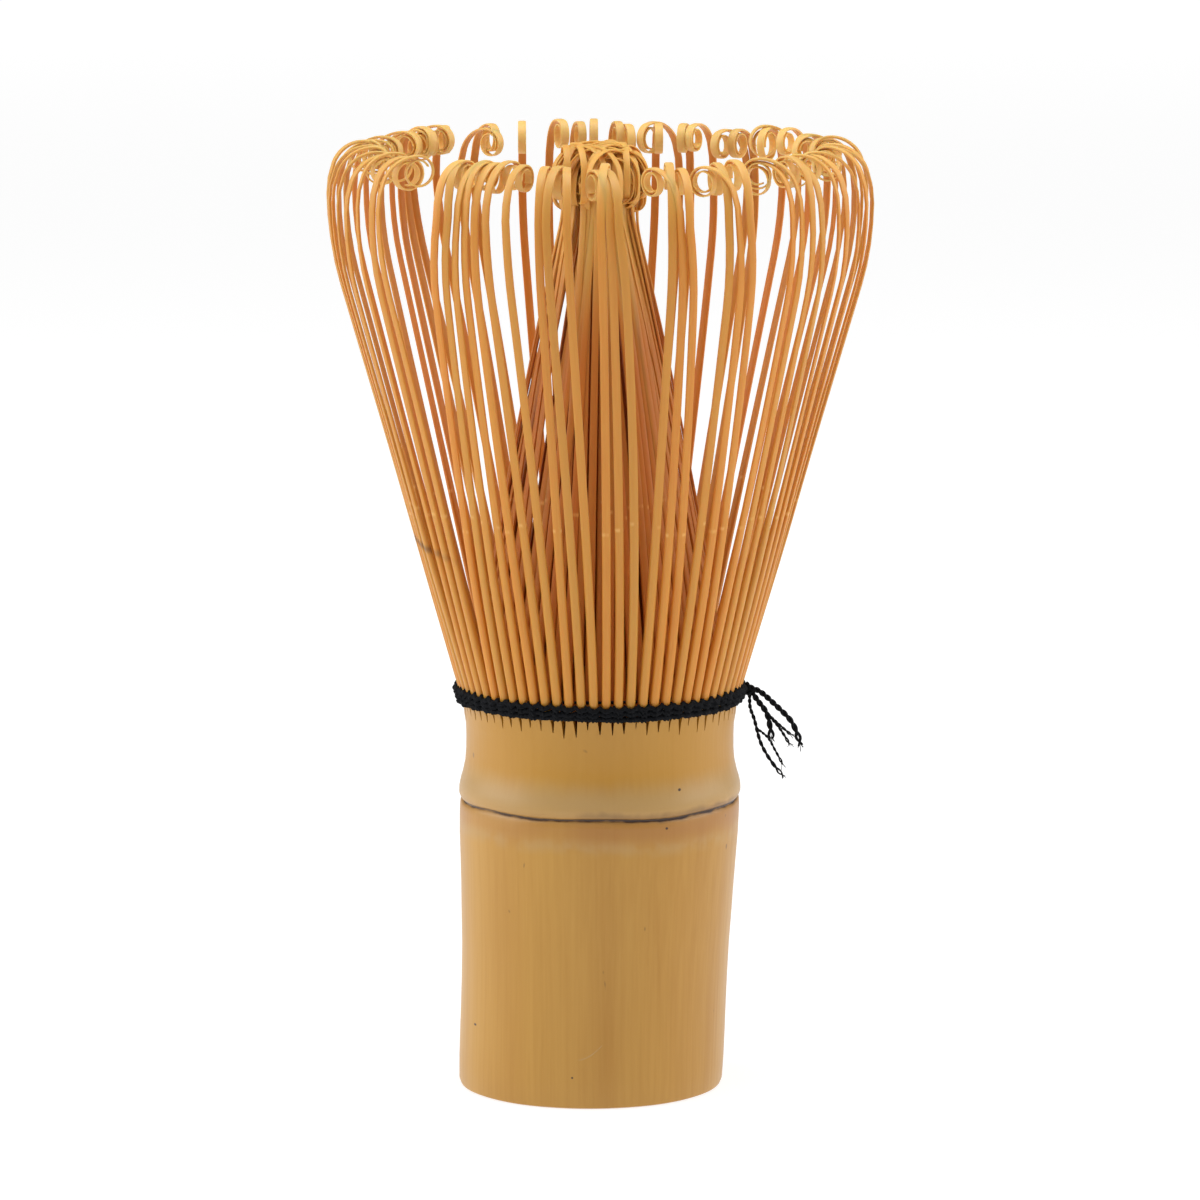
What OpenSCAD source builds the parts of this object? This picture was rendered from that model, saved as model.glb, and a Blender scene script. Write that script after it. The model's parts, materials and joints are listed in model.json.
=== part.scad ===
// Bamboo tea whisk: one culm whose upper end is split into a ring of hooked outer tines and a
// cone of inner tines, held apart and bound with black thread.
// Units are millimetres. Z points up, and the origin is the centre of the open base.

/* [Culm handle] */
// Outer diameter at the base
base_d = 29.4; // [28:0.1:31]
// Outer diameter just below the node
below_node_d = 31; // [30:0.1:32]
// Outer diameter of the swelling above the node line
node_d = 31.2; // [30.5:0.1:32]
// Outer diameter of the waist between the node and the binding
waist_d = 29.8; // [29:0.1:30.5]
// Height of the node line
node_z = 31.5; // [30:0.5:33]
// Sideways offset of the upper axis from the centre of the base, where the lower culm leans
upper_x = 1.07; // [0:0.01:1.5]
// Diameter of the open bore in the base
bore_d = 21.6; // [18:0.1:23]
// Depth of the open bore, up to the diaphragm inside the node
bore_depth = 27; // [20:0.5:28]
// Diameter of the hollow above the diaphragm
crown_bore_d = 26.4; // [25.5:0.1:26.6]
// Height of the top of the diaphragm
diaphragm_z = 33.5; // [31:0.5:36]

/* [Crown and binding] */
// Height at which the slits between the tines start
slit_z = 42.5; // [41:0.1:43]
// Width of a slit
slit_w = 0.4; // [0.2:0.05:0.5]
// Height of the top of the crown, where the free tines start
crown_z = 45.35; // [45:0.05:46]
// Diameter of the binding thread
thread_d = 0.58; // [0.5:0.01:0.6]
// Turns of the binding thread
thread_turns = 3; // [2:1:3]

/* [Tines] */
// Tine groups round the whisk, each with three outer and three inner tines
group_count = 24; // [24]
// Gap between the crown and the free tines, in which they flex
flex_gap = 0.15; // [0.1:0.05:0.3]
// Width of an outer tine
outer_w = 0.9; // [0.6:0.05:0.95]
// Width of an inner tine
inner_w = 0.45; // [0.3:0.05:0.46]
// Thickness of a tine at its root
root_t = 0.9; // [0.6:0.05:1]
// Thickness of the shaved upper part of a tine
tip_t = 0.3; // [0.2:0.05:0.35]

/* [Outer ring] */
// Widest diameter of the ring of outer tines
ring_d = 60.3; // [56:0.1:62]
// Height of the widest place
ring_z = 100.2; // [98:0.1:102]
// Outward lean of the straight part of an outer tine, in degrees
flare = 16.2; // [15.5:0.1:16.5]
// Radius of the bend below the widest place
bend_r = 33; // [25:1:36]
// Radius of the hook at the top
hook_r = 6.1; // [5:0.1:6.5]
// Radius with which the hook turns down again
return_r = 2.8; // [2.4:0.1:3]
// Radius of the curl at the very tip
curl_r = 1.35; // [1:0.05:1.5]

/* [Inner cone] */
// Radius of the inner cone at its neck
neck_r = 3.7; // [3.6:0.05:4]
// Height of the neck
neck_z = 96.4; // [95:0.1:97]
// Radius with which the tines turn outward above the neck
neck_bend_r = 4; // [3.5:0.5:5]
// Radius of the belly of the tuft above the neck
belly_r = 5; // [4.8:0.1:5.4]
// Radius of the small hooks that close the tuft
tuft_hook_r = 0.8; // [0.7:0.05:0.9]

/* [Hidden] */
function two_digits(i) = i < 10 ? str("0", i) : str(i);
function outer_name(i) = str("outer_tines_", two_digits(i));
function inner_name(i) = str("inner_tines_", two_digits(i));

handle_color = "#c9985a";
outer_color = "#d9a05a";
inner_color = "#b9762f";
thread_color = "#16181c";

group_angle = 360 / group_count;
tine_angle = group_angle / 3;
tine_root_z = crown_z + flex_gap;
round_fn = 96;
// Reach of a cut beyond the surface it opens
cut_clear = 20;

// The lower culm's tilt, from the centre of the base to the upper axis at the node
culm_lean = atan(upper_x / node_z);

// Middle radii of the tines' roots: the outer one follows from the ring and its flare
bend_start = [ring_d / 2 - tip_t / 2 - bend_r * (1 - cos(flare)), ring_z - bend_r * sin(flare)];
outer_root_r = bend_start[0] - tan(flare) * (bend_start[1] - tine_root_z);
separator_d = 0.5;
tine_gap = 0.66;
inner_root_r = outer_root_r - root_t - tine_gap;
crown_r = outer_root_r + root_t / 2;
crown_slope = tan(flare);

// Share of a tine's straight part over which it thins from its root
thinning = 0.45;
// Sideways lean of a group's two side tines towards the middle one, in degrees
outer_gather = 0.8;
inner_gather = 0.34;
// Step inwards from one tine of an inner group to the next, so that they pass at the neck
stagger = 0.55;
// How much sooner on the belly each next tine hooks over, in degrees
belly_drop = 20;

// Points on an arc about centre c, from angle a0 to a1
function arc(c, r, a0, a1, steps) =
    [for (i = [0 : steps]) let (a = a0 + (a1 - a0) * i / steps) c + r * [cos(a), sin(a)]];

// Middle line of an outer tine as [radius, height]: straight, bend, hook, return and curl
hook_centre = [ring_d / 2 - tip_t / 2 - hook_r, ring_z];
return_centre = hook_centre + [0, hook_r - return_r];
curl_centre = return_centre - [return_r - curl_r, 0];
outer_root = [outer_root_r, tine_root_z];
outer_path = concat(
    [outer_root, outer_root + thinning * (bend_start - outer_root)],
    arc(hook_centre + [hook_r - bend_r, 0], bend_r, -flare, 0, 4),
    arc(hook_centre, hook_r, 15, 90, 5),
    arc(return_centre, return_r, 110, 180, 4),
    arc(curl_centre, curl_r, 205, 405, 8)
);

// Middle line of an inner tine: straight to the neck, out to the belly and over in a small hook.
// step is 0 for the outermost and tallest tine of a group, and the others nest inside it.
belly_heading = 60;
belly_top = 40;
inner_root = [inner_root_r, tine_root_z];
inner_lean = atan((inner_root_r - neck_r) / (neck_z - tine_root_z));
function inner_path(step) =
    let (neck = [neck_r - stagger * step, neck_z],
         neck_turn = 180 + inner_lean,
         neck_centre = neck - neck_bend_r * [cos(neck_turn), sin(neck_turn)],
         neck_end = 90 + belly_heading,
         belly_turn = belly_heading - 90,
         belly_end = belly_top - belly_drop * step,
         belly_centre = neck_centre + neck_bend_r * [cos(neck_end), sin(neck_end)]
                        - belly_r * [cos(belly_turn), sin(belly_turn)],
         tuft_centre = belly_centre + (belly_r - tuft_hook_r) * [cos(belly_end), sin(belly_end)])
    concat(
        [inner_root, inner_root + thinning * (neck - inner_root)],
        arc(neck_centre, neck_bend_r, neck_turn, neck_end, 3),
        arc(belly_centre, belly_r, belly_turn + 12, belly_end, 5),
        arc(tuft_centre, tuft_hook_r, belly_end + 35, 180, 3)
    );

// Unit vector square to the path at point i, and the tine's thickness there
function path_side(path, i) =
    let (d = path[min(i + 1, len(path) - 1)] - path[max(i - 1, 0)]) [d[1], -d[0]] / norm(d);
function tine_t(i) = i == 0 ? root_t : tip_t;

// Flat outline of a tine with the given middle line
module tine_outline(path) {
    count = len(path);
    outer_side = [for (i = [0 : count - 1]) path[i] + path_side(path, i) * tine_t(i) / 2];
    inner_side = [for (i = [count - 1 : -1 : 0]) path[i] - path_side(path, i) * tine_t(i) / 2];
    polygon(concat(outer_side, inner_side));
}

// One tine standing in the radial plane at angle 0, w wide
module tine(path, w) {
    rotate([90, 0, 0]) linear_extrude(w, center = true) tine_outline(path);
}

// A tine leaned sideways about its root
module leaning_tine(path, w, lean) {
    root = [path[0][0], 0, path[0][1]];
    translate(root) rotate([lean, 0, 0]) translate(-root) tine(path, w);
}

// Angle of the middle of group i
function group_at(i) = (i - 0.5) * group_angle;

module outer_tines(i) {
    color(outer_color)
        translate([upper_x, 0, 0])
            for (side = [-1 : 1])
                rotate(group_at(i) + side * tine_angle)
                    leaning_tine(outer_path, outer_w, side * outer_gather);
}

module inner_tines(i) {
    color(inner_color)
        translate([upper_x, 0, 0])
            for (side = [-1 : 1])
                rotate(group_at(i) + side * tine_angle)
                    leaning_tine(inner_path(side < 0 ? 1 : 2 * side), inner_w, side * inner_gather);
}

// Lower culm, a natural taper about an axis that leans from the base to the node
module lower_culm() {
    edge = 0.5;
    top = node_z - 0.3;
    intersection() {
        rotate([0, culm_lean, 0])
            rotate_extrude($fn = round_fn)
                polygon([[0, -1], [base_d / 2 - edge, -1], [base_d / 2 - edge, 0], [base_d / 2, edge],
                         [base_d / 2 + 0.15, node_z / 2], [below_node_d / 2, node_z - 3],
                         [below_node_d / 2, top], [0, top]]);
        translate([-base_d, -base_d, 0]) cube([2 * base_d, 2 * base_d, node_z + 5]);
    }
}

// Upper culm: the groove of the node line, the swelling, the waist and the crown
module upper_culm() {
    groove_r = below_node_d / 2 - 0.4;
    translate([upper_x, 0, 0])
        rotate_extrude($fn = round_fn)
            polygon([[0, node_z - 2], [groove_r, node_z - 2], [groove_r, node_z + 0.2],
                     [node_d / 2, node_z + 0.5], [node_d / 2, node_z + 1.6],
                     [waist_d / 2 + 0.2, node_z + 4.6], [waist_d / 2, node_z + 7], [waist_d / 2, slit_z - 2],
                     [crown_r - crown_slope * (tine_root_z - slit_z), slit_z],
                     [crown_r - crown_slope * flex_gap, crown_z], [0, crown_z]]);
}

module culm_handle() {
    color(handle_color) difference() {
        union() {
            lower_culm();
            upper_culm();
        }
        translate([0, 0, -1]) cylinder(d = bore_d, h = bore_depth + 1, $fn = round_fn);
        translate([upper_x, 0, diaphragm_z]) cylinder(d = crown_bore_d, h = cut_clear, $fn = round_fn);
        for (i = [1 : 3 * group_count])
            translate([upper_x, 0, slit_z]) rotate(i * tine_angle)
                translate([crown_bore_d / 2 - 1, -slit_w / 2, 0]) cube([5, slit_w, cut_clear]);
    }
}

// Ring of round thread about the upper axis
module thread_ring(ring_r, z, d) {
    translate([upper_x, 0, z]) rotate_extrude($fn = round_fn) translate([ring_r, 0]) circle(d = d, $fn = 24);
}

// One thread wound round the crown; each turn bears on the one below
turn_pitch = 0.55;
first_turn_z = crown_z - 0.35 - (thread_turns - 1) * turn_pitch;
module binding_thread() {
    color(thread_color)
        for (turn = [0 : thread_turns - 1]) {
            z = first_turn_z + turn * turn_pitch;
            thread_ring(crown_r - crown_slope * (tine_root_z - z) + thread_d / 2, z, thread_d);
        }
}

// Thread that lies on the crown and keeps the outer and inner tines apart
separator_r = outer_root_r - root_t / 2 - tine_gap / 2;
module separator_thread() {
    color(thread_color) thread_ring(separator_r, crown_z + separator_d / 2, separator_d);
}

// Knot in which the binding thread ends
knot_at = [17.7, 0, 44.5];
knot_d = 1.5;
module binding_knot() {
    color(thread_color) translate(knot_at) sphere(d = knot_d, $fn = 32);
}

// Frayed tails of the thread. Their routes are laid out by hand.
tail_1 = [[17.9, -0.2, 44.8], [19, -0.4, 44.3], [20.6, -0.6, 42.9], [22.2, -0.8, 41.3], [22.9, -0.9, 40],
          [23.4, -1, 38.4]];
tail_2 = [[17.9, 0.1, 44.3], [18.6, 0.2, 43.3], [19.6, 0.3, 41.9], [20, 0.4, 40.4], [20.2, 0.4, 38.9]];
tail_2_strand_a = [[19.5, 0.3, 42], [20.9, 0.7, 40.6], [22.3, 1, 39.3]];
tail_2_strand_b = [[19.5, 0.3, 42], [21, -0.1, 40.3], [22.2, -0.2, 38.4]];
tail_3 = [[17.7, 0.4, 44.2], [17.8, 0.9, 42.4], [18.3, 1.2, 40.9], [18.9, 1.3, 38.6], [19.6, 1.4, 37.1],
          [20.6, 1.5, 35.6], [21.6, 1.6, 34.4]];
tail_3_strand = [[18.5, 1.2, 40], [19.8, 1.8, 38.8], [20.6, 2, 37.4], [21.5, 2.1, 35.7]];

// A tube of diameter d swept along a route, one ring at each of its points
tube_sides = 8;
module tube(route, d) {
    count = len(route);
    rings = [for (i = [0 : count - 1])
        let (ahead = route[min(i + 1, count - 1)] - route[max(i - 1, 0)],
             along = ahead / norm(ahead),
             across = cross(along, [0, 1, 0]) / norm(cross(along, [0, 1, 0])),
             up = cross(across, along))
        for (k = [0 : tube_sides - 1])
            let (a = 360 * k / tube_sides) route[i] + d / 2 * (across * cos(a) + up * sin(a))];
    sides = [for (i = [0 : count - 2]) for (k = [0 : tube_sides - 1])
        let (a = i * tube_sides + k, b = i * tube_sides + (k + 1) % tube_sides)
        [a, b, b + tube_sides, a + tube_sides]];
    first_cap = [for (k = [tube_sides - 1 : -1 : 0]) k];
    last_cap = [for (k = [0 : tube_sides - 1]) (count - 1) * tube_sides + k];
    polyhedron(rings, concat([first_cap], sides, [last_cap]));
}

tail_d = 0.55;
fine_tail_d = 0.42;
strand_d = 0.3;
module thread_tail_1() {
    color(thread_color) tube(tail_1, tail_d);
}

module thread_tail_2() {
    color(thread_color) {
        tube(tail_2, tail_d);
        tube(tail_2_strand_a, strand_d);
        tube(tail_2_strand_b, strand_d);
    }
}

module thread_tail_3() {
    color(thread_color) {
        tube(tail_3, fine_tail_d);
        tube(tail_3_strand, strand_d);
    }
}

culm_handle();
for (i = [1 : group_count]) outer_tines(i);
for (i = [1 : group_count]) inner_tines(i);
binding_thread();
separator_thread();
binding_knot();
thread_tail_1();
thread_tail_2();
thread_tail_3();
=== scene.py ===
"""Looks of a bamboo tea whisk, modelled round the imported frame. All lengths are in metres."""

import json
import math
import random

import bpy
import numpy as np
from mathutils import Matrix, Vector


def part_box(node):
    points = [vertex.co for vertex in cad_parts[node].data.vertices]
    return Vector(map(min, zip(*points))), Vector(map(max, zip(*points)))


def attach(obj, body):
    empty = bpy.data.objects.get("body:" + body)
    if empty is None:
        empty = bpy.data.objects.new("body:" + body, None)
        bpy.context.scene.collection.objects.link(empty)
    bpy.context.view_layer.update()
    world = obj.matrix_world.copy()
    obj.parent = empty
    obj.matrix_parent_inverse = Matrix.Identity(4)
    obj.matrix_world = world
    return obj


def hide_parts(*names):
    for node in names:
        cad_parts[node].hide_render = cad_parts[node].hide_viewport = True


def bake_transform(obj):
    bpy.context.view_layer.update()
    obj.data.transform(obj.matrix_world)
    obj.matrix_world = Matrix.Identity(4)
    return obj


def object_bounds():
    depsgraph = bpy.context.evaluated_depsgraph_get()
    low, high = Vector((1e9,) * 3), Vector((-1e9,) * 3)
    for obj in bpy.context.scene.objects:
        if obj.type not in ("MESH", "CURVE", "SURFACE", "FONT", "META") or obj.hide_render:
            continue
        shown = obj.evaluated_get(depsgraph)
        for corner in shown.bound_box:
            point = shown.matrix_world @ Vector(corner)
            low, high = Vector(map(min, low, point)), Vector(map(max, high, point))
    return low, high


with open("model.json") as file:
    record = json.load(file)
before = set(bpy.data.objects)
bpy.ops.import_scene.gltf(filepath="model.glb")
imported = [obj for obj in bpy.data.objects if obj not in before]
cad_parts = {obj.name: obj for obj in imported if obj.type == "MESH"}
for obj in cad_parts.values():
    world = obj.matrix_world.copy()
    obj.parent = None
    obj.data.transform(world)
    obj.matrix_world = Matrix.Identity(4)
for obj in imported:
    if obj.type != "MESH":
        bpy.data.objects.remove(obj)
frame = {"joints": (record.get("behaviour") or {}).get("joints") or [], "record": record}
CAD_LOW, CAD_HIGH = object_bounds()

bl_info = {
    "name": "Bamboo tea whisk",
    "version": (1, 0, 0),
    "blender": (4, 5, 0),
    "location": "3D View > Sidebar > Whisk",
    "description": "Models a bamboo tea whisk, its binding thread and a plain stage",
    "category": "Add Mesh",
}

MM = 0.001

# Angles in degrees below which neighbouring faces are shaded as one
CULM_CREASE = 38
TINE_CREASE = 60
THREAD_CREASE = 70


# ---------------------------------------------------------------- places read from the frame

def hinges(prefix):
    """The frame's hinges whose names start with prefix, in order."""
    return [joint for joint in frame["joints"] if joint["name"].startswith(prefix)]


OUTER_HINGES = hinges("outer_flex")
INNER_HINGES = hinges("inner_open")
GROUPS = len(OUTER_HINGES)
TINES_PER_GROUP = 3
TINE_STEP = 2 * math.pi / (GROUPS * TINES_PER_GROUP)
AXIS_X = sum(joint["pos_m"][0] for joint in OUTER_HINGES) / GROUPS
AXIS = Vector((AXIS_X, 0, 0))
HINGE_Z = OUTER_HINGES[0]["pos_m"][2]
CROWN_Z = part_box("culm_handle")[1].z


def radius_of(joint):
    """A hinge's distance from the upper axis."""
    x, y, _ = joint["pos_m"]
    return math.hypot(x - AXIS_X, y)


OUTER_ROOT_R = radius_of(OUTER_HINGES[0])
INNER_ROOT_R = radius_of(INNER_HINGES[0])
RING_R = (CAD_HIGH.x - CAD_LOW.x) / 2
BORE = next(mount for mount in frame["record"]["mounts"] if mount["kind"] == "bore")
BORE_R = BORE["dims"]["r_mm"] * MM
BORE_DEPTH = BORE["dims"]["length_mm"] * MM


def group_azimuth(joint):
    """The direction from the upper axis to a hinge, in radians."""
    x, y, _ = joint["pos_m"]
    return math.atan2(y, x - AXIS_X)


# ---------------------------------------------------------------- sizes and colours

def length_setting(name, description, millimetres):
    """A setting in metres, from its usual value in millimetres."""
    return bpy.props.FloatProperty(
        name=name, description=description, default=millimetres * MM, unit="LENGTH")


def angle_setting(name, description, degrees):
    """A setting in radians, from its usual value in degrees."""
    return bpy.props.FloatProperty(
        name=name, description=description, default=math.radians(degrees), subtype="ANGLE", unit="ROTATION")


def colour_setting(name, description, *colour):
    """A colour setting."""
    return bpy.props.FloatVectorProperty(
        name=name, description=description, subtype="COLOR", size=3, min=0, max=1, default=colour)


class CulmSettings(bpy.types.PropertyGroup):
    """Sizes and colours of the handle."""
    base_radius: length_setting("Base radius", "Outer radius at the foot", 14.7)
    node_radius: length_setting("Node radius", "Outer radius at the node's swelling", 15.6)
    waist_radius: length_setting("Waist radius", "Outer radius between node and binding", 14.88)
    node_height: length_setting("Node height", "Height of the node line", 31.75)
    crown_bore: length_setting("Crown bore", "Inner radius above the diaphragm", 13.2)
    diaphragm_top: length_setting("Diaphragm top", "Height of the floor of the crown", 33.5)
    slit_foot: length_setting("Slit foot", "Mean height of the slits' pointed ends", 42.2)
    slit_width: length_setting("Slit width", "Width of a slit at the binding", 0.75)
    skin_light: colour_setting("Light skin", "Paler streaks of the skin", 0.565, 0.295, 0.045)
    skin_deep: colour_setting("Deep skin", "Darker streaks of the skin", 0.435, 0.195, 0.016)
    crown_gold: colour_setting("Crown gold", "Skin between the node and the binding", 0.52, 0.245, 0.018)
    node_pale: colour_setting("Node bloom", "Pale zone above the node line", 0.50, 0.31, 0.115)
    node_blush: colour_setting("Node blush", "Warm zone below the node line", 0.38, 0.150, 0.032)
    # The node line's dark colour also paints the shadow just above the line
    node_dark: colour_setting("Node line", "Dark groove of the node", 0.045, 0.018, 0.008)


class TineSettings(bpy.types.PropertyGroup):
    """Sizes and colours of the tines."""
    outer_width: length_setting("Outer width", "Width of an outer tine at its root", 0.95)
    inner_width: length_setting("Inner width", "Width of an inner tine at its root", 0.95)
    root_thickness: length_setting("Root thickness", "Thickness of a tine at its root", 0.9)
    tip_thickness: length_setting("Tip thickness", "Thickness of the shaved upper part", 0.34)
    flare: angle_setting("Flare", "Outward lean of the outer tines", 16.2)
    hook_radius: length_setting("Hook radius", "Radius of the hook at the top", 4.0)
    skin: colour_setting("Tine skin", "Lighter outer tines", 0.68, 0.31, 0.038)
    flesh: colour_setting("Tine flesh", "Deeper outer tines and their inner faces", 0.56, 0.185, 0.012)
    tip: colour_setting("Tine tip", "Thin rolled tips of the outer tines", 0.92, 0.60, 0.19)
    heart: colour_setting("Inner tines", "Lighter inner tines", 0.56, 0.185, 0.014)
    deep_heart: colour_setting("Deep inner tines", "Deeper inner tines and their backs", 0.42, 0.108, 0.005)
    tuft: colour_setting("Tuft", "Thin curled ends of the inner tines", 0.84, 0.46, 0.10)


class ThreadSettings(bpy.types.PropertyGroup):
    """Sizes and colour of the thread."""
    diameter: length_setting("Thread diameter", "Diameter of the two-ply thread", 0.66)
    turns: bpy.props.IntProperty(name="Turns", description="Turns round the crown", default=3, min=2, max=3)
    colour: colour_setting("Thread colour", "Dyed cotton", 0.0022, 0.0027, 0.004)


class StageSettings(bpy.types.PropertyGroup):
    """The camera and the floor."""
    camera_distance: length_setting("Camera distance", "Distance in front of the whisk", 796)
    camera_height: length_setting("Camera height", "Height above the floor", 180.85)
    camera_pitch: angle_setting("Camera pitch", "Downward tilt", 9.01)
    lens: bpy.props.FloatProperty(name="Lens", description="Focal length in millimetres", default=217.6)
    floor_size: length_setting("Floor size", "Side of the floor", 6000)
    floor_colour: colour_setting("Floor colour", "Plain pale floor", 0.34, 0.34, 0.34)


# ---------------------------------------------------------------- modelling helpers

def deselect_all():
    """Leaves nothing selected, in object mode."""
    if bpy.context.object and bpy.context.object.mode != "OBJECT":
        bpy.ops.object.mode_set(mode="OBJECT")
    bpy.ops.object.select_all(action="DESELECT")


def activate(*pieces):
    """Selects only these pieces and makes the first one active."""
    deselect_all()
    for piece in pieces:
        piece.select_set(True)
    bpy.context.view_layer.objects.active = pieces[0]


def new_piece(name):
    """Names the primitive that was just added and sets its place in its mesh."""
    piece = bpy.context.object
    piece.name = name
    piece.data.name = name
    bpy.ops.object.transform_apply(location=True, rotation=True, scale=True)
    return piece


def copy_of(piece, name):
    """A copy of a piece with its own mesh."""
    activate(piece)
    bpy.ops.object.duplicate(linked=False)
    twin = bpy.context.object
    twin.name = name
    twin.data.name = name
    return twin


def join(pieces, name):
    """Joins pieces into the first one."""
    activate(*pieces)
    if len(pieces) > 1:
        bpy.ops.object.join()
    pieces[0].name = name
    pieces[0].data.name = name
    return pieces[0]


def discard(*pieces):
    """Removes helper pieces."""
    activate(*pieces)
    bpy.ops.object.delete()


def points_of(piece):
    """The vertex positions of a piece as an array."""
    points = np.empty(len(piece.data.vertices) * 3, np.float32)
    piece.data.vertices.foreach_get("co", points)
    return points.reshape(-1, 3).astype(float)


def move_points(piece, points):
    """Puts the vertices of a piece at new places."""
    piece.data.vertices.foreach_set("co", points.astype(np.float32).ravel())
    piece.data.update()


def edit(piece, action="SELECT"):
    """Opens a piece in edit mode with all of it selected, or none."""
    activate(piece)
    bpy.ops.object.mode_set(mode="EDIT")
    bpy.ops.mesh.select_mode(type="VERT")
    bpy.ops.mesh.select_all(action=action)


def leave_edit():
    """Goes back to object mode."""
    bpy.ops.object.mode_set(mode="OBJECT")


def select_points(piece, chosen):
    """Selects, in edit mode, the vertices for which the array chosen is true."""
    edit(piece, "DESELECT")
    leave_edit()
    piece.data.vertices.foreach_set("select", chosen)
    bpy.ops.object.mode_set(mode="EDIT")


def face_outwards(piece):
    """Turns every face of a closed piece outwards."""
    edit(piece)
    bpy.ops.mesh.normals_make_consistent(inside=False)
    leave_edit()


def smooth(piece, crease):
    """Shades a piece smooth where its faces meet at less than an angle in degrees."""
    activate(piece)
    bpy.ops.object.shade_smooth_by_angle(angle=math.radians(crease))


def point_value(piece, name, values):
    """Stores one number for each vertex, which materials read by name."""
    attribute = piece.data.attributes.new(name, "FLOAT", "POINT")
    attribute.data.foreach_set("value", np.asarray(values, np.float32))


def set_uv(piece, u, v):
    """Gives each corner of a piece the u and v of its vertex."""
    layer = piece.data.uv_layers.new(name="grain")
    corners = np.empty(len(piece.data.loops), np.int32)
    piece.data.loops.foreach_get("vertex_index", corners)
    layer.data.foreach_set("uv", np.stack([u[corners], v[corners]], 1).astype(np.float32).ravel())


def ease(x):
    """Smooth step from 0 to 1."""
    x = np.clip(x, 0, 1)
    return x * x * (3 - 2 * x)


def turned(name, stations, sides):
    """An open shape turned about the upper axis, extruded ring by ring through (radius, height) stations."""
    deselect_all()
    radius, height = stations[0]
    bpy.ops.mesh.primitive_circle_add(
        vertices=sides, radius=radius, fill_type="NOTHING", location=(AXIS_X, 0, height))
    piece = new_piece(name)
    edit(piece)
    for next_radius, next_height in stations[1:]:
        rise = next_height - height
        growth = next_radius / radius
        bpy.ops.mesh.extrude_region_move(TRANSFORM_OT_translate={"value": (0, 0, rise)})
        bpy.ops.transform.resize(value=(growth, growth, 1), center_override=(AXIS_X, 0, next_height))
        radius, height = next_radius, next_height
    bpy.ops.mesh.edge_face_add()
    leave_edit()
    return piece


# ---------------------------------------------------------------- strips laid along a route

# Blanks, in units of a strip's width: the place of one beside the next, and the bevel of a flat strip
STRIP_GAP = 2
STRIP_CORNER = 0.2
STRAND_SIDES = 8

# Where an old blemish crosses the left front of the ring, and how far its mark reaches sideways
SCAR_PLACE = Vector((-18.8, -9, 61.8)) * MM
SCAR_REACH = 2.4 * MM


def drawn_up(name, count, stations):
    """The primitive that was just added, drawn up by a unit for each station, and copied side by side."""
    strip = new_piece(name)
    edit(strip)
    for _ in range(stations - 1):
        bpy.ops.mesh.extrude_region_move(TRANSFORM_OT_translate={"value": (0, 0, 1)})
    leave_edit()
    face_outwards(strip)
    strips = [strip]
    for i in range(1, count):
        twin = copy_of(strip, name)
        twin.location.x = i * STRIP_GAP
        bpy.ops.object.transform_apply(location=True, rotation=False, scale=False)
        strips.append(twin)
    return join(strips, name)


def strip_blank(name, count, stations):
    """Upright strips of one unit's width and thickness with bevelled edges."""
    deselect_all()
    bpy.ops.mesh.primitive_plane_add(size=1, location=(0, 0, 0))
    edit(bpy.context.object)
    bpy.ops.mesh.bevel(offset=STRIP_CORNER, segments=1, affect="VERTICES")
    leave_edit()
    return drawn_up(name, count, stations)


def round_blank(name, count, stations):
    """Upright round strands of one unit's width."""
    deselect_all()
    bpy.ops.mesh.primitive_circle_add(
        vertices=STRAND_SIDES, radius=0.5, fill_type="NGON", location=(0, 0, 0))
    return drawn_up(name, count, stations)


def frames_along(points, across):
    """Unit vectors across and facing a route, from rough across directions."""
    along = np.gradient(points, axis=0)
    along /= np.linalg.norm(along, axis=1, keepdims=True)
    across = across - np.sum(across * along, axis=1, keepdims=True) * along
    across /= np.linalg.norm(across, axis=1, keepdims=True)
    return across, np.cross(along, across)


def run_along(points):
    """How far along a route each of its points lies."""
    steps = np.linalg.norm(np.diff(points, axis=0), axis=1)
    return np.concatenate([[0], np.cumsum(steps)])


def scar_of(points):
    """Where the blemish crosses a tine: its height, and how strongly it marks the tine."""
    crossing = points[np.argmin(np.abs(points[:, 2] - SCAR_PLACE.z))]
    off = crossing[0] - SCAR_PLACE.x
    strength = math.exp(-((off / SCAR_REACH) ** 2)) if crossing[1] < 2 * MM else 0
    return SCAR_PLACE.z - 0.3 * off, strength


def lay(piece, routes):
    """Lays each strip of a blank along its route, and keeps where each vertex lies for the materials."""
    blank = points_of(piece)
    which = np.rint(blank[:, 0] / STRIP_GAP).astype(int)
    side = blank[:, 0] - which * STRIP_GAP
    depth = blank[:, 1]
    station = np.rint(blank[:, 2]).astype(int)
    placed = np.empty_like(blank)
    around = np.empty(len(blank))
    kept = {name: np.empty(len(blank)) for name in ("along", "tint", "above_scar", "scarred")}
    for index, route in enumerate(routes):
        mine = which == index
        k = station[mine]
        across, facing = frames_along(route["points"], route["across"])
        width = route["width"][k] * side[mine]
        thickness = route["thickness"][k] * depth[mine]
        placed[mine] = route["points"][k] + across[k] * width[:, None] + facing[k] * thickness[:, None]
        around[mine] = width + thickness + route["offset"]
        kept["along"][mine] = run_along(route["points"])[k]
        kept["tint"][mine] = route["tint"]
        scar_height, kept["scarred"][mine] = scar_of(route["points"])
        kept["above_scar"][mine] = placed[mine, 2] - scar_height
    move_points(piece, placed)
    set_uv(piece, around, kept["along"])
    for name, values in kept.items():
        point_value(piece, name, values)
    point_value(piece, "inner_face", 0.5 + depth)
    return piece


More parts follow.
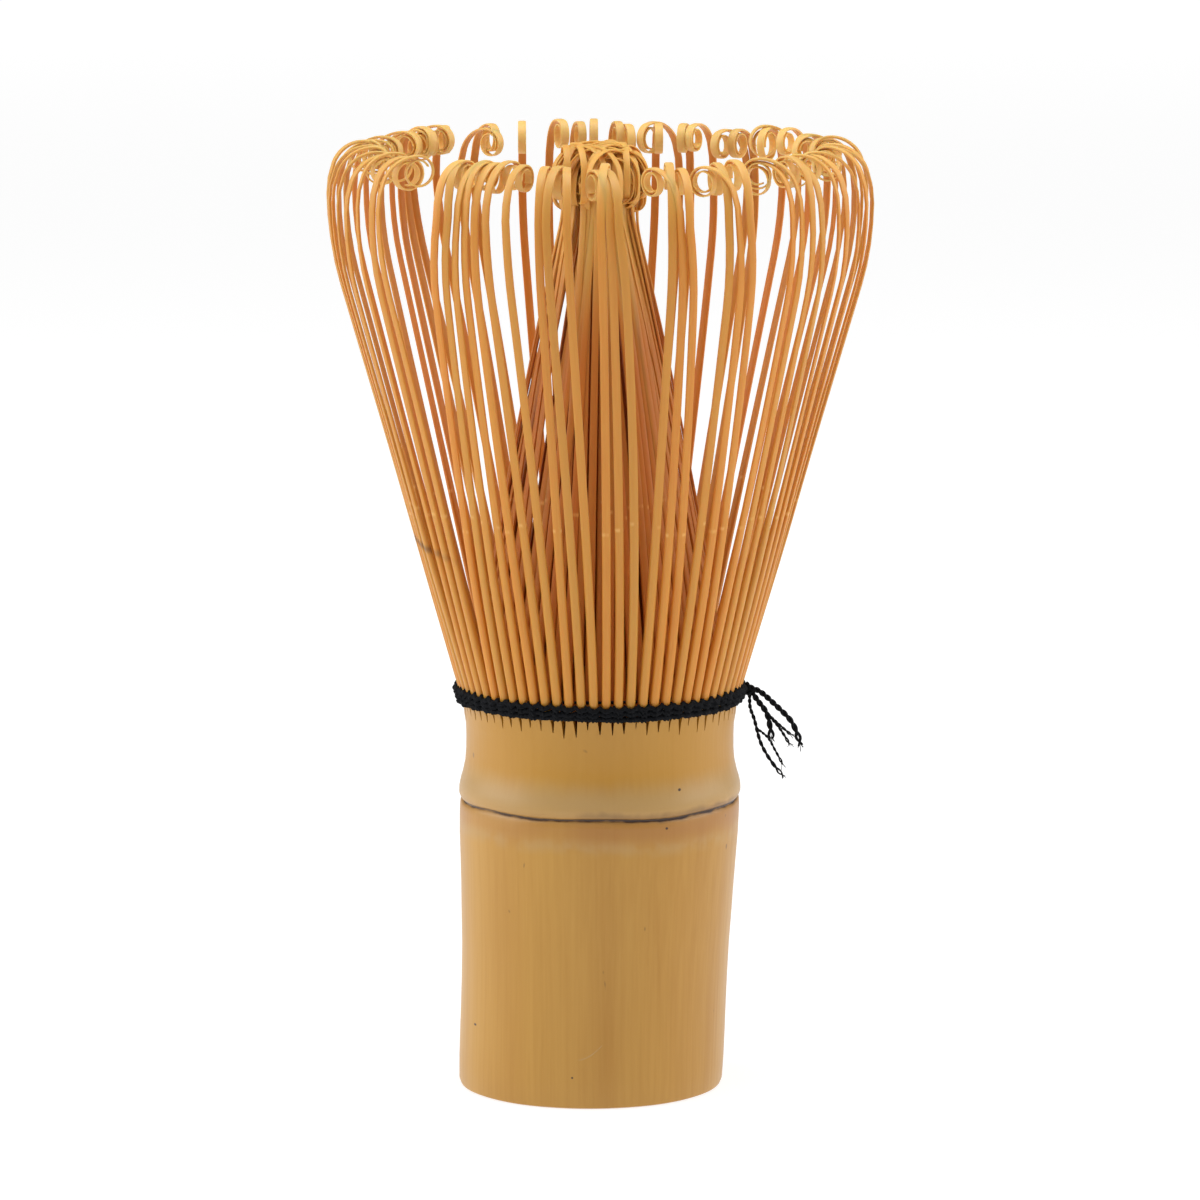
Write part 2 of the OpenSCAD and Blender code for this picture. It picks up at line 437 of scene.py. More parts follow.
def path(radius, height, heading, legs):
    """Radii and heights along legs of (length, turn in degrees, steps), from a heading in degrees."""
    radii, heights = [radius], [height]
    for length, turn, steps in legs:
        for _ in range(steps):
            middle = math.radians(heading + turn / steps / 2)
            radii.append(radii[-1] + length / steps * math.cos(middle))
            heights.append(heights[-1] + length / steps * math.sin(middle))
            heading += turn / steps
    return np.array(radii), np.array(heights)


def arc_leg(radius, turn, steps):
    """A leg of a path that turns on a radius."""
    return (radius * math.radians(abs(turn)), turn, steps)


def stand(azimuth, radii, heights, shift, bow, yaw, pivot, twist, sizes, dice):
    """A route in space: the path stands at an azimuth, drifts sideways by shift towards its top, and turns
    about the vertical by yaw beyond its pivot station. The sizes are the width at the root, the share of it
    that is lost on the way up, the thickness at the root and above, and the length over which it thins."""
    width, narrowing, root_thickness, tip_thickness, thinned = sizes
    out = np.array([math.cos(azimuth), math.sin(azimuth), 0])
    sideways = np.array([-math.sin(azimuth), math.cos(azimuth), 0])
    rise = np.clip((heights - heights[0]) / (heights[pivot] - heights[0]), 0, 1)
    rise[pivot:] = 1
    drift = shift * rise ** 1.5 + bow * np.sin(math.pi * rise) * rise
    beyond = np.zeros(len(radii))
    beyond[pivot:] = radii[pivot:] - radii[pivot]
    radius = radii + beyond * (math.cos(yaw) - 1)
    side = drift + beyond * math.sin(yaw)
    points = np.array(AXIS) + out * radius[:, None] + sideways * side[:, None]
    points[:, 2] += heights
    swing = ease((np.arange(len(radii)) - pivot + 4) / 8) * yaw + twist * rise
    run = np.concatenate([[0], np.cumsum(np.hypot(np.diff(radii), np.diff(heights)))])
    thickness = tip_thickness + (root_thickness - tip_thickness) * (1 - ease(run / thinned))
    thickness *= 1 - 0.45 * ease((run / run[-1] - 0.78) / 0.15)
    return {
        "points": points,
        "across": sideways * np.cos(swing)[:, None] - out * np.sin(swing)[:, None],
        "width": width * (1 - narrowing * ease(run / (0.7 * run[-1]))),
        "thickness": thickness,
        "offset": dice.uniform(0, 0.5),
        "tint": dice.random(),
    }


# ---------------------------------------------------------------- materials

# Dark specks on the culm: where each one is, and its radius
SPECKS = (
    ((9.8 * MM, 0, 35.5 * MM), 0.22 * MM),
    ((8.4 * MM, 0, 31.4 * MM), 0.20 * MM),
    ((-2.0 * MM, 0, 3.6 * MM), 0.16 * MM),
    ((-12.8 * MM, 0, 8.0 * MM), 0.18 * MM),
)

# A scratch on the front of the culm: the x and z of its middle, and how far it reaches to each side
SCRATCH_PLACE = (-0.2 * MM, 6.0 * MM)
SCRATCH_REACH = 1.6 * MM


class Term:
    """A node's output socket that can be used in arithmetic."""

    def __init__(self, recipe, socket):
        self.recipe = recipe
        self.socket = socket

    def math(self, operation, *others):
        return self.recipe.node("ShaderNodeMath", {"operation": operation}, [self, *others])

    def __add__(self, other):
        return self.math("ADD", other)

    def __sub__(self, other):
        return self.math("SUBTRACT", other)

    def __rsub__(self, other):
        return self.recipe.node("ShaderNodeMath", {"operation": "SUBTRACT"}, [other, self])

    def __mul__(self, other):
        return self.math("MULTIPLY", other)

    def __truediv__(self, other):
        return self.math("DIVIDE", other)

    __radd__ = __add__
    __rmul__ = __mul__

    def clamp(self):
        """The value kept between 0 and 1."""
        return self.recipe.node("ShaderNodeClamp", {}, [self, 0.0, 1.0])

    def between(self, low, high):
        """0 below low, 1 above high, and a smooth step between them."""
        settings = {"interpolation_type": "SMOOTHSTEP"}
        return self.recipe.node("ShaderNodeMapRange", settings, [self, low, high, 0.0, 1.0])

    def hill(self, centre, reach):
        """1 at centre, and smoothly down to 0 at a distance of reach."""
        return 1 - (self - centre).math("ABSOLUTE").between(0.0, reach)


class Recipe:
    """A material or a world under construction."""

    def __init__(self, owner):
        self.owner = owner
        owner.use_nodes = True
        self.tree = owner.node_tree
        self.tree.nodes.clear()

    def node(self, kind, settings=None, inputs=(), output=0):
        """Adds a node, sets it up, and feeds its sockets from a list or a dict of values and terms."""
        node = self.tree.nodes.new(kind)
        for key, value in (settings or {}).items():
            setattr(node, key, value)
        pairs = inputs.items() if isinstance(inputs, dict) else enumerate(inputs)
        for key, value in pairs:
            if isinstance(value, Term):
                self.tree.links.new(value.socket, node.inputs[key])
            elif value is not None:
                node.inputs[key].default_value = value
        return Term(self, node.outputs[output])

    def place(self):
        """Object coordinates, in metres."""
        return self.node("ShaderNodeTexCoord", {}, output=3)

    def axis(self, place, number):
        """One axis of a place: 0 to 2 for X to Z."""
        return self.node("ShaderNodeSeparateXYZ", {}, [place], number)

    def noise(self, vector, scale, detail, roughness=0.5):
        """Noise between 0 and 1."""
        return self.node("ShaderNodeTexNoise", {}, {
            "Vector": vector, "Scale": scale, "Detail": detail, "Roughness": roughness})

    def stretched(self, vector, scale):
        """Coordinates scaled by axis."""
        return self.node("ShaderNodeMapping", {}, {"Vector": vector, "Scale": scale})

    def mix(self, factor, first, second):
        """A colour between two colours."""
        first, second = (
            colour if isinstance(colour, Term) else (*colour, 1) for colour in (first, second))
        return self.node("ShaderNodeMix", {"data_type": "RGBA"}, {0: factor, 6: first, 7: second}, 2)

    def tone(self, colour, value):
        """A colour made lighter or darker by a value round 1."""
        return self.node("ShaderNodeHueSaturation", {}, {"Color": colour, "Value": value})

    def attribute(self, name):
        """A number stored for each vertex."""
        return self.node("ShaderNodeAttribute", {"attribute_name": name}, output=2)

    def bump(self, height, distance, strength):
        """A bump whose full height is a distance in metres."""
        return self.node("ShaderNodeBump", {}, {"Height": height, "Distance": distance, "Strength": strength})

    def finish(self, colour, roughness, normal, constants):
        """Ends a material in a Principled shader."""
        inputs = {"Base Color": colour, "Roughness": roughness, "Normal": normal}
        self.show(self.node("ShaderNodeBsdfPrincipled", {}, inputs | constants), "ShaderNodeOutputMaterial")
        return self.owner

    def show(self, shader, kind):
        """Leads a shader to the surface of an output node."""
        output = self.tree.nodes.new(kind)
        self.tree.links.new(shader.socket, output.inputs["Surface"])


def on_front(recipe, place):
    """1 on the front of the culm and 0 on its back."""
    return 1 - recipe.axis(place, 1).between(-6 * MM, -3 * MM)


def marks(recipe, place):
    """The small dark specks on the front of the culm."""
    flat = recipe.stretched(place, (1, 0, 1))
    total = 0
    for spot, size in SPECKS:
        away = recipe.node("ShaderNodeVectorMath", {"operation": "DISTANCE"}, {0: flat, 1: spot}, 1)
        total = total + (1 - away.between(0.4 * size, size))
    return total * on_front(recipe, place)


def scratch(recipe, place, broken):
    """A short pale scratch near the foot of the culm."""
    run = (recipe.axis(place, 0) - SCRATCH_PLACE[0]) / SCRATCH_REACH
    off = recipe.axis(place, 2) - SCRATCH_PLACE[1] - 0.9 * MM * run - 0.5 * MM * run * run
    line = off.hill(0.0, 0.16 * MM) * (1 - run.math("ABSOLUTE").between(0.8, 1.0))
    return line * on_front(recipe, place) * broken.between(0.35, 0.55)


def culm_material(settings):
    """Smooth dried skin of the culm, with fibres, the coloured zones of the node, a painted shadow just above
    the node line and small blemishes.
    """
    recipe = Recipe(bpy.data.materials.new("culm_skin"))
    place = recipe.place()
    level = recipe.attribute("above_node")
    fibre = recipe.noise(recipe.stretched(place, (1, 1, 0.025)), 1800, 4, 0.6)
    streak = recipe.noise(recipe.stretched(place, (1, 1, 0.05)), 260, 3, 0.5)
    cloud = recipe.noise(recipe.stretched(place, (1, 1, 0.35)), 55, 2, 0.5)
    depth = (0.5 * cloud + 0.3 * streak + 0.3 * fibre).between(0.34, 0.86)
    skin = recipe.mix(depth, settings.skin_light, settings.skin_deep)
    ragged = level + (streak - 0.5) * (1.2 * MM)
    golden = ragged.between(3 * MM, 6 * MM)
    skin = recipe.mix(golden * 0.7, skin, settings.crown_gold)
    pale = ragged.hill(2 * MM, 3.6 * MM)
    skin = recipe.mix(pale * 0.85, skin, settings.node_pale)
    blush = ragged.hill(-1.2 * MM, 2.4 * MM) * cloud.between(0.2, 0.55)
    skin = recipe.mix(blush * 0.6, skin, settings.node_blush)
    broken = recipe.noise(place, 420, 2, 0.6)
    frost = (level + (cloud - 0.5) * (2 * MM)).hill(-2.8 * MM, 1.2 * MM) * broken.between(0.3, 0.65)
    skin = recipe.mix(frost * 0.4, skin, settings.node_pale)
    # Painted shadow: a soft, broken dark band just above the node line, where the groove's upper wall lies in
    # shade
    painted_shade_above_line = (level + (broken - 0.5) * (1.2 * MM)).hill(0.3 * MM, 0.8 * MM) * cloud.between(0.35, 0.65)
    line = (level + (broken - 0.5) * (0.5 * MM)).hill(0.0, 0.28 * MM) * (0.2 + 1.4 * broken).clamp()
    skin = recipe.mix((line + 0.45 * painted_shade_above_line).clamp(), skin, settings.node_dark)
    speck_noise = recipe.noise(recipe.stretched(place, (1, 1, 0.6)), 900, 1, 0.4)
    specks = (0.5 * speck_noise.between(0.78, 0.84) + marks(recipe, place)).clamp()
    skin = recipe.mix(specks, skin, settings.node_dark)
    scratched = scratch(recipe, place, broken)
    skin = recipe.mix(scratched * 0.8, skin, settings.node_pale)
    normal = recipe.bump(fibre * 0.6 + streak * 0.4 - scratched, 0.06 * MM, 0.5)
    return recipe.finish(skin, 0.36 + 0.14 * fibre, normal, {"Coat Weight": 0.15, "Coat Roughness": 0.3})


# The colour of the blemish, and how far up a tine the knife's pale score crosses it
SCAR = (0.20, 0.085, 0.022)
SCORE_HEIGHT = 22.4 * MM

# How light passes through the thin bamboo
TRANSLUCENT = {
    "Subsurface Weight": 0.3,
    "Subsurface Radius": (1.0, 0.42, 0.12),
    "Subsurface Scale": 0.8 * MM,
}


def tine_material(name, skin, flesh, tip, thinned):
    """Split bamboo: long fibres, a deeper inner face, a tint of its own for each tine, and a paler tip that
    starts between the two distances along the tine in thinned."""
    recipe = Recipe(bpy.data.materials.new(name))
    grain = recipe.node("ShaderNodeUVMap", {"uv_map": "grain"})
    tint = recipe.attribute("tint")
    inner_face = recipe.attribute("inner_face")
    along = recipe.attribute("along")
    fibre = recipe.noise(recipe.stretched(grain, (1, 0.03, 1)), 5200, 3, 0.6)
    streak = recipe.noise(recipe.stretched(grain, (1, 0.05, 1)), 900, 2, 0.5)
    depth = 0.35 * tint + 0.35 * fibre + 0.3 * streak + 0.25 * inner_face
    colour = recipe.mix(depth.between(0.25, 0.95), skin, flesh)
    thin = along.between(*thinned)
    colour = recipe.mix(0.85 * thin, colour, tip)
    score = (along + (tint - 0.5) * (2 * MM)).hill(SCORE_HEIGHT, 0.35 * MM) * streak.between(0.44, 0.6)
    colour = recipe.mix(0.4 * score, colour, tip)
    scar = recipe.attribute("above_scar").hill(0.0, 0.7 * MM) * recipe.attribute("scarred")
    colour = recipe.mix(0.8 * scar, colour, SCAR)
    colour = recipe.tone(colour, 0.90 + 0.22 * tint)
    normal = recipe.bump(fibre * 0.7 + streak * 0.3, 0.04 * MM, 0.6)
    return recipe.finish(colour, 0.42 + 0.16 * fibre, normal, TRANSLUCENT)


def thread_material(settings):
    """Black twisted cotton."""
    recipe = Recipe(bpy.data.materials.new("black_cotton"))
    grain = recipe.node("ShaderNodeUVMap", {"uv_map": "grain"})
    fibre = recipe.noise(recipe.stretched(grain, (1, 0.2, 1)), 9000, 3, 0.6)
    pale = [2.2 * channel + 0.004 for channel in settings.colour]
    colour = recipe.mix(fibre.between(0.4, 0.75), settings.colour, pale)
    normal = recipe.bump(fibre, 0.04 * MM, 0.8)
    return recipe.finish(colour, 0.75 + 0.2 * fibre, normal, {"Specular IOR Level": 0.2})


def paint(piece, material):
    """Gives a piece one material."""
    piece.data.materials.clear()
    piece.data.materials.append(material)


# ---------------------------------------------------------------- the stage

# Light that the floor gives of its own: under the whisk, and far from it
FLOOR_GLOW = (0.78, 0.78, 0.78)
WHITE = (1.0, 1.0, 1.0)

# The area lights: where each one is, its side and its power in watts
LIGHTS = (
    ("left_box", (-0.60, 0.02, 0.36), 0.6, 2.9),
    ("right_box", (0.60, 0.04, 0.36), 0.6, 2.5),
    ("top_box", (0.0, -0.05, 0.80), 0.6, 3.8),
    ("front_box", (-0.25, -0.9, 0.55), 0.5, 0.5),
)
LIT_SPOT = Vector((AXIS_X, 0, 0.06))


class WHISK_OT_stage(bpy.types.Operator):
    """Sets up the camera, the soft lights and the plain floor"""
    bl_idname = "whisk.stage"
    bl_label = "Stage"

    def execute(self, context):
        settings = context.scene.whisk_stage
        deselect_all()
        bpy.ops.mesh.primitive_plane_add(size=settings.floor_size, location=(0, 0, -0.02 * MM))
        floor = new_piece("floor")
        recipe = Recipe(bpy.data.materials.new("plain_floor"))
        place = recipe.place()
        shade = [0.98 * channel for channel in settings.floor_colour]
        colour = recipe.mix(recipe.noise(place, 3, 1), settings.floor_colour, shade)
        away = recipe.node("ShaderNodeVectorMath", {"operation": "LENGTH"}, [place], 1)
        glow = recipe.mix(away.between(0.1, 2.4), FLOOR_GLOW, WHITE)
        constants = {"Specular IOR Level": 0.0, "Emission Color": glow, "Emission Strength": 1.0}
        paint(floor, recipe.finish(colour, 0.7, None, constants))
        self.add_lights()
        self.add_world(context)
        place = (AXIS_X, -settings.camera_distance, settings.camera_height)
        turn = (math.pi / 2 - settings.camera_pitch, 0, 0)
        bpy.ops.object.camera_add(location=place, rotation=turn)
        camera = bpy.context.object
        camera.name = "camera"
        camera.data.lens = settings.lens
        camera.data.sensor_width = 36
        camera.data.clip_start = 0.01
        camera.data.clip_end = 20
        context.scene.camera = camera
        context.scene.view_settings.view_transform = "Standard"
        return {"FINISHED"}

    def add_lights(self):
        """Soft boxes on both sides of the whisk and above it, and a weak one in front."""
        for name, spot, size, power in LIGHTS:
            bpy.ops.object.light_add(type="AREA", location=spot)
            light = bpy.context.object
            light.name = name
            light.data.size = size
            light.data.energy = power
            light.rotation_euler = (LIT_SPOT - Vector(spot)).to_track_quat("-Z", "Y").to_euler()

    def add_world(self, context):
        """An even white surround, which shows as white but lights the whisk more softly."""
        world = bpy.data.worlds.new("white_surround")
        context.scene.world = world
        recipe = Recipe(world)
        seen = recipe.node("ShaderNodeLightPath")
        strength = recipe.node("ShaderNodeMapRange", {}, {"Value": seen, "To Min": 0.20})
        surround = recipe.node("ShaderNodeBackground", {}, {"Color": (*WHITE, 1), "Strength": strength})
        recipe.show(surround, "ShaderNodeOutputWorld")


# ---------------------------------------------------------------- the culm handle

CULM_SIDES = 144
STUB_TOP = 44.9 * MM

# A slit's cutter: its depth and height, and the width of its foot beside that of its top
SLIT_REACH = 6 * MM
SLIT_HEIGHT = 3.4 * MM
SLIT_POINT = 0.1

# Stations of the culm's outline, as (radius, height) in millimetres: from the foot's radius and the base, from
# the node's radius and height, and from the waist's radius and the node's height
FOOT_OUTLINE = (
    (-0.55, 0), (-0.16, 0.16), (0, 0.6), (0.08, 3), (0.1, 6), (0.1, 9), (0.12, 12), (0.2, 16), (0.38, 20),
    (0.5, 23), (0.66, 26),
)
NODE_OUTLINE = (
    (-0.1, -3.6), (-0.06, -2), (-0.06, -1), (-0.1, -0.5), (-0.2, -0.25), (-0.36, -0.1), (-0.34, 0.08),
    (-0.08, 0.25), (0.05, 0.55), (0.04, 1.2), (-0.12, 2.1), (-0.36, 3.1),
)
WAIST_OUTLINE = ((0.1, 4.6), (0, 6.2), (0, 7.8), (0.05, 9.2), (0.24, 10.3))
CROWN_HEIGHTS = (43 * MM, 44 * MM, STUB_TOP)

# The same for the hollow of the crown, from its mouth down, and for the bore, from its blind end down
HOLLOW_HEIGHTS = (STUB_TOP, 41 * MM, 37 * MM)
HOLLOW_FLOOR = ((0, 1.5), (-1.2, 0.3), (-3, 0))
BORE_END = ((-2.5, 0), (-0.6, -0.5), (0, -2))
BORE_MOUTH = ((0, 15), (0, 6), (0, 0.3), (0.3, 0))


def outline(radius, height, stations):
    """Stations in millimetres from a radius and a height, in metres."""
    return [(radius + out * MM, height + up * MM) for out, up in stations]


def crown_face(tines, height):
    """Outer radius of the crown and of the tines' straight part at a height."""
    return OUTER_ROOT_R + tines.root_thickness / 2 + math.tan(tines.flare) * (height - HINGE_Z)


class WHISK_OT_culm(bpy.types.Operator):
    """Models the handle: one culm with its node, its bore and the slit crown"""
    bl_idname = "whisk.culm"
    bl_label = "Culm handle"

    def execute(self, context):
        culm = context.scene.whisk_culm
        tines = context.scene.whisk_tines
        stations = outline(BORE_R, BORE_DEPTH, BORE_END)
        stations += outline(BORE_R, 0, BORE_MOUTH)
        stations += outline(culm.base_radius, 0, FOOT_OUTLINE)
        stations += outline(culm.node_radius, culm.node_height, NODE_OUTLINE)
        stations += outline(culm.waist_radius, culm.node_height, WAIST_OUTLINE)
        stations += [(crown_face(tines, height), height) for height in CROWN_HEIGHTS]
        stations += [(culm.crown_bore, height) for height in HOLLOW_HEIGHTS]
        stations += outline(culm.crown_bore, culm.diaphragm_top, HOLLOW_FLOOR)
        piece = turned("culm_handle_skin", stations, CULM_SIDES)
        points = points_of(piece)
        reach = np.hypot(points[:, 0] - AXIS_X, points[:, 1])
        select_points(piece, (np.abs(points[:, 2] - BORE_DEPTH) < 1e-5) & (reach < BORE_R))
        bpy.ops.mesh.edge_face_add()
        leave_edit()
        face_outwards(piece)
        self.cut_slits(piece, culm)
        self.weather(piece, culm)
        smooth(piece, CULM_CREASE)
        paint(piece, culm_material(culm))
        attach(piece, "handle")
        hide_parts("culm_handle")
        return {"FINISHED"}

    def cut_slits(self, piece, culm):
        """Cuts a pointed slit between each tine and the next."""
        dice = random.Random(11)
        deselect_all()
        bpy.ops.mesh.primitive_cube_add(size=1, scale=(SLIT_REACH, culm.slit_width, SLIT_HEIGHT))
        wedge = new_piece("slit_cutter")
        select_points(wedge, points_of(wedge)[:, 2] < 0)
        bpy.ops.transform.resize(value=(1, SLIT_POINT, 1), center_override=(0, 0, -SLIT_HEIGHT / 2))
        leave_edit()
        cutters = []
        for i in range(GROUPS * TINES_PER_GROUP):
            twin = copy_of(wedge, f"slit_cutter_{i}")
            azimuth = i * TINE_STEP + dice.uniform(-0.004, 0.004)
            tip = culm.slit_foot + dice.uniform(-0.65, 0.55) * MM
            twin.location = (
                AXIS_X + culm.waist_radius * math.cos(azimuth),
                culm.waist_radius * math.sin(azimuth),
                tip + SLIT_HEIGHT / 2,
            )
            twin.rotation_euler = (dice.uniform(-0.04, 0.04), 0, azimuth)
            twin.scale.y = dice.uniform(0.75, 1.3)
            cutters.append(twin)
        cutter = join(cutters, "slit_cutters")
        activate(cutter)
        bpy.ops.object.transform_apply(location=True, rotation=True, scale=True)
        activate(piece)
        modifier = piece.modifiers.new("slits", "BOOLEAN")
        modifier.operation = "DIFFERENCE"
        modifier.solver = "EXACT"
        modifier.object = cutter
        bpy.ops.object.modifier_apply(modifier=modifier.name)
        discard(wedge, cutter)

    def weather(self, piece, culm):
        """Leans the lower culm, bends the node line up and down, and makes the culm a little out of round."""
        points = points_of(piece)
        x, y, z = points[:, 0] - AXIS_X, points[:, 1], points[:, 2]
        azimuth = np.arctan2(y, x)
        near_node = np.exp(-(((z - culm.node_height) / (4.5 * MM)) ** 2))
        point_value(piece, "above_node", z - culm.node_height)
        front = -np.sin(azimuth)
        right = np.cos(azimuth)
        wave = 0.72 - 0.05 * front + 0.06 * right + 0.30 * right ** 2
        wave += 0.12 * np.sin(3 * azimuth + 0.6) + 0.07 * np.sin(7 * azimuth)
        z_new = z + near_node * wave * MM
        lower = np.clip(1 - z / culm.node_height, 0, 1)
        wall = np.clip((np.hypot(x, y) - BORE_R - 0.5 * MM) / (2 * MM), 0, 1)
        below = np.clip((culm.slit_foot - z) / (8 * MM), 0, 1)
        bulges = 0.0035 * np.sin(2 * azimuth + 0.8)
        bulges += 0.002 * np.sin(5 * azimuth + z * 120) + 0.001 * np.sin(11 * azimuth)
        round_off = 1 + wall * below * bulges
        x_new = AXIS_X + x * round_off - AXIS_X * lower
        move_points(piece, np.stack([x_new, y * round_off, z_new], 1))


# ---------------------------------------------------------------- the tines

TINE_FOOT = 44.2 * MM
FRONT = -math.pi / 2

# Stations along a tine, and the one beyond which it turns about the vertical
OUTER_STATIONS = 64
OUTER_PIVOT = 16
INNER_STATIONS = 59
INNER_PIVOT = 15

# The lengths over which the tines thin from their roots
OUTER_TAPER = 34 * MM
INNER_TAPER = 30 * MM

# An outer tine: its straight part, the radii of the bends above that, and the height of the highest hooks
STRAIGHT = 48.6 * MM
SHOULDER_R = 33 * MM
HOOK_START_R = 9 * MM
RING_TOP = 105.75

# The tuft: its widest radius and its top in millimetres, the upright part of the neck, and the angle in
# degrees over which the inner tines are fanned, in steps of the golden section
TUFT_R = 5.3
TUFT_TOP = 105.7
NECK = 3.2 * MM
FAN = 140
GOLDEN = 0.618

# Where the tips of each group's tines have wandered to, in degrees round the whisk from its front towards
# the right. The groups are listed from the left of the front half, and of the back half seen from the front.
FRONT_TIPS = (
    (-88, -82, -77), (-72, -66.5, -61), (-55, -53, -34.2), (-32, -30.2, -28.4),
    (-26.4, -24, -19.6), (-12.6, -11, -6.7), (0.2, 2, 3.8), (14.8, 16.6, 18.4),
    (27.2, 29.2, 31.4), (43.5, 46, 48.5), (51.5, 57.5, 61), (67, 74, 82),
)
BACK_TIPS = (
    (-87, -81, -76), (-71, -66, -61), (-55, -51.5, -48.6), (-46.6, -44.6, -38),
    (-32, -28.4, -17.2), (-11.2, -6, -1.5), (2.4, 3.9, 12.2), (17.6, 20, 25.5),
    (34, 35.8, 43.5), (48.5, 51.5, 58.5), (62, 66, 71), (76, 81, 87),
)


def wandered(azimuth):
    """The azimuths of the tips of the group that stands at an azimuth."""
    turn = math.degrees(azimuth - FRONT) % 360
    if turn > 180:
        turn -= 360
    behind = abs(turn) > 90
    across = math.copysign(180, turn) - turn if behind else turn
    place = math.floor((across + 90) / (360 / GROUPS))
    if behind:
        return [FRONT + math.pi - math.radians(tip) for tip in reversed(BACK_TIPS[place])]
    return [FRONT + math.radians(tip) for tip in FRONT_TIPS[place]]


class WHISK_OT_outer_tines(bpy.types.Operator):
    """Models the ring of hooked outer tines, three to a group"""
    bl_idname = "whisk.outer_tines"
    bl_label = "Outer tines"

    def execute(self, context):
        tines = context.scene.whisk_tines
        dice = random.Random(5)
        material = tine_material(
            "outer_bamboo", tines.skin, tines.flesh, tines.tip, (56 * MM, 69 * MM))
        blank = strip_blank("outer_blank", TINES_PER_GROUP, OUTER_STATIONS)
        for number, joint in enumerate(OUTER_HINGES, 1):
            azimuth = group_azimuth(joint)
            routes = []
            for side, tip in zip((-1, 0, 1), wandered(azimuth)):
                root = azimuth + side * TINE_STEP
                away = (tip - root + math.pi) % (2 * math.pi) - math.pi
                routes.append(self.route(tines, root, RING_R * away, dice))
            piece = lay(copy_of(blank, f"outer_tine_group_{number:02d}"), routes)
            smooth(piece, TINE_CREASE)
            paint(piece, material)
            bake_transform(piece)
            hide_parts(f"outer_tines_{number:02d}")
        discard(blank)
        return {"FINISHED"}

    def route(self, tines, azimuth, drift, dice):
        """The route of one outer tine, from inside the binding to the end of its curl."""
        flare = math.degrees(tines.flare)
        hook = tines.hook_radius + dice.uniform(-0.5, 0.5) * MM
        roll = dice.uniform(1.35, 1.75) * MM
        root = OUTER_ROOT_R + math.tan(tines.flare) * (TINE_FOOT - HINGE_Z)
        straight = STRAIGHT + dice.uniform(-0.35, 0.35) * MM
        legs = [
            (straight, 0, 12),
            arc_leg(SHOULDER_R, flare, 4),
            arc_leg(HOOK_START_R, 22, 2),
            arc_leg(hook, dice.uniform(64, 84), 9),
            arc_leg(roll, 180, 14),
            arc_leg(0.86 * roll, 180, 12),
            arc_leg(0.72 * roll, dice.uniform(60, 220), 10),
        ]
        radii, heights = path(root, TINE_FOOT, 90 - flare, legs)
        top = (RING_TOP - 0.8 * dice.random() ** 2) * MM
        heights += ease((heights - HINGE_Z) / (20 * MM)) * (top - heights.max())
        yaw = math.radians(dice.uniform(-24, 24))
        twist = math.radians(dice.uniform(-10, 10))
        bow = dice.uniform(-0.35, 0.35) * MM
        sizes = (tines.outer_width, 0.06, tines.root_thickness, tines.tip_thickness, OUTER_TAPER)
        return stand(azimuth, radii, heights, drift, bow, yaw, OUTER_PIVOT, twist, sizes, dice)


class WHISK_OT_inner_tines(bpy.types.Operator):
    """Models the cone of inner tines and the tangled tuft at its top, three tines to a group"""
    bl_idname = "whisk.inner_tines"
    bl_label = "Inner tines"

    def execute(self, context):
        tines = context.scene.whisk_tines
        dice = random.Random(8)
        material = tine_material(
            "inner_bamboo", tines.heart, tines.deep_heart, tines.tuft, (38 * MM, 58 * MM))
        blank = strip_blank("inner_blank", TINES_PER_GROUP, INNER_STATIONS)
        for number, joint in enumerate(INNER_HINGES, 1):
            azimuth = group_azimuth(joint)
            routes = []
            for side in (-1, 0, 1):
                spot = side + 0.25 - 0.25 * math.sin(azimuth) + dice.uniform(-0.08, 0.08)
                order = TINES_PER_GROUP * number + side
                routes.append(self.route(tines, azimuth + spot * TINE_STEP, order, dice))
            piece = lay(copy_of(blank, f"inner_tine_group_{number:02d}"), routes)
            smooth(piece, TINE_CREASE)
            paint(piece, material)
            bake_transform(piece)
            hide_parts(f"inner_tines_{number:02d}")
        discard(blank)
        return {"FINISHED"}

    def route(self, tines, azimuth, order, dice):
        """The route of one inner tine: up to the neck, then over the top of the tuft and down its far side."""
        neck = dice.uniform(3.1, 4.5) * MM
        neck_z = dice.uniform(94.5, 97) * MM
        run = INNER_ROOT_R - neck
        rise = neck_z - TINE_FOOT
        bend = dice.uniform(4, 8)
        lean = math.degrees(math.atan2(run, rise)) - bend / 2
        yaw = math.radians(FAN * (order * GOLDEN % 1) - FAN / 2)
        ball = (TUFT_R - 0.9 * dice.random() ** 2) * MM
        at_top = neck - 0.6 * MM
        over = (at_top * math.cos(yaw) + math.sqrt(ball ** 2 - (at_top * math.sin(yaw)) ** 2)) / 2
        top = TUFT_TOP * MM - 1.2 * (TUFT_R * MM - ball) - dice.uniform(0, 0.5) * MM
        legs = [
            (math.hypot(run, rise), bend, 11),
            (NECK, -lean - bend, 3),
            (max(top - over - neck_z - NECK, 0.3 * MM), 0, 1),
            arc_leg(over, 180, 18),
            (dice.uniform(0.1, 1.9) * MM, 4, 3),
            arc_leg(dice.uniform(1.1, 1.8) * MM, 150, 10),
            arc_leg(dice.uniform(0.9, 1.2) * MM, dice.uniform(40, 260), 12),
        ]
        radii, heights = path(INNER_ROOT_R, TINE_FOOT, 90 + lean, legs)
        twist = math.radians(dice.uniform(-20, 20))
        bow = dice.uniform(-0.5, 0.5) * MM
        drift = dice.uniform(-0.9, 0.9) * MM
        sizes = (
            tines.inner_width, 0.25, 0.8 * tines.root_thickness, 0.8 * tines.tip_thickness, INNER_TAPER)
        return stand(azimuth, radii, heights, drift, bow, yaw, INNER_PIVOT, twist, sizes, dice)


# ---------------------------------------------------------------- the thread

PLIES = 2

